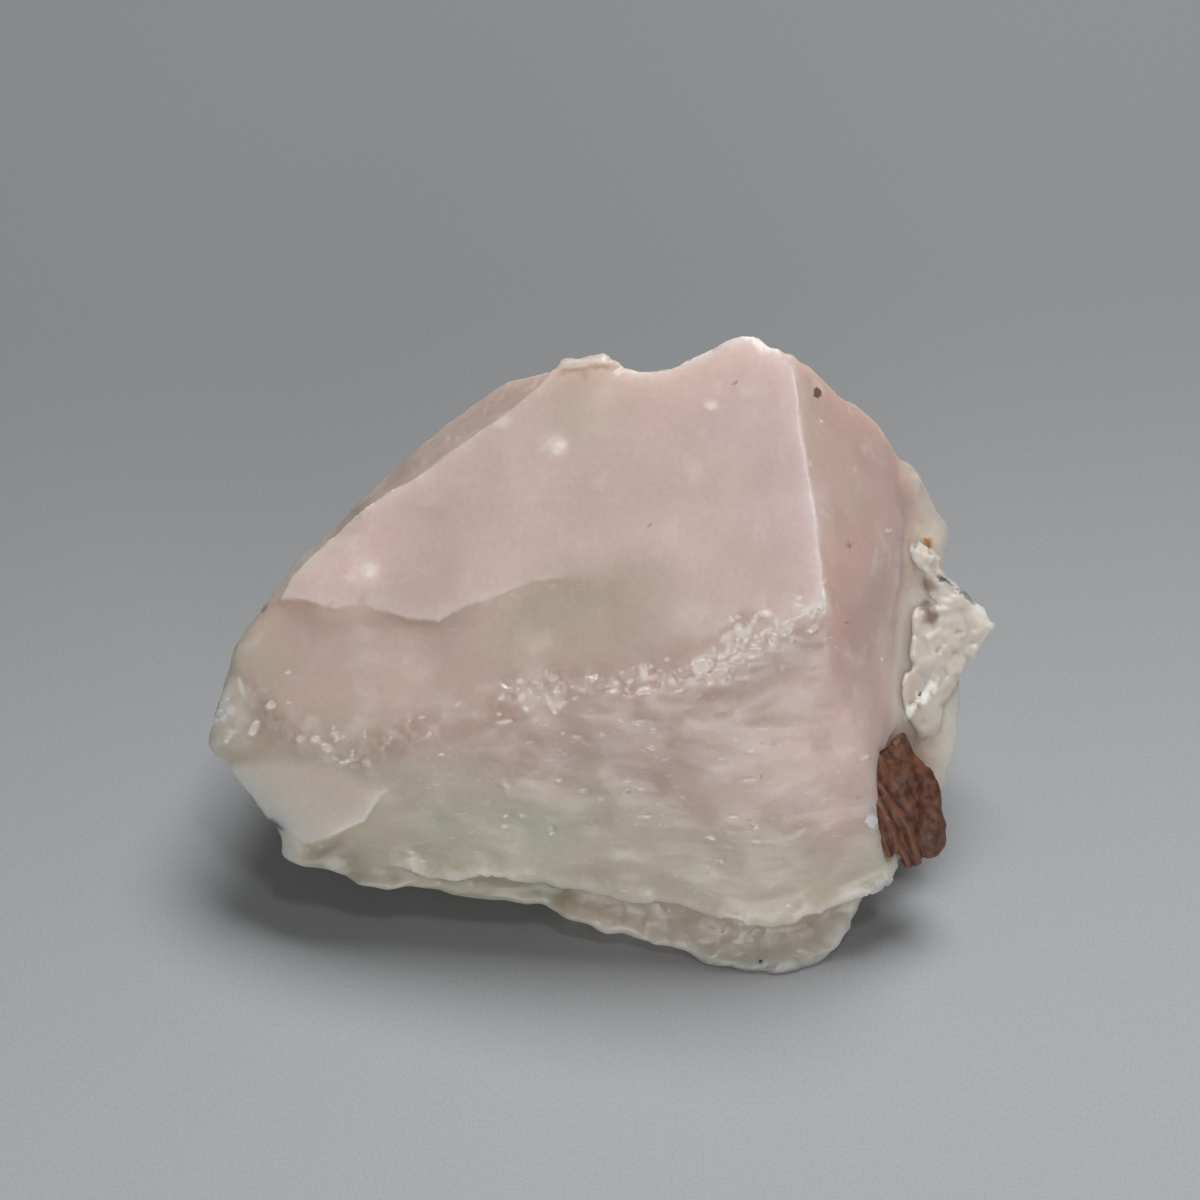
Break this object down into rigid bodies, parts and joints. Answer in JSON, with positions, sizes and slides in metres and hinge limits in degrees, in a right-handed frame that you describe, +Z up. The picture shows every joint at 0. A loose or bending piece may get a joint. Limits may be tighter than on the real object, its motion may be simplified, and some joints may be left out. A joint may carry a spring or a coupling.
{
  "type": "morganite crystal",
  "caption": "Rough morganite: a broken piece of pink to pale green beryl with a flat crystal face on top, white feldspar on its flank and a grain of brown mica.",
  "frame": {"origin": "centre of the bounding box, on the surface that the stone rests on", "axes": "+X to the right of the side that shows best, +Y away from that side, +Z up"},
  "size_m": [0.0412, 0.0276, 0.0236],
  "materials": {
    "morganite": "satin",
    "feldspar": "satin",
    "mica": "satin"
  },
  "bodies": {
    "root": {"morganite_crystal": "morganite", "white_feldspar": "feldspar", "brown_mica": "mica"}
  },
  "joints": []
}
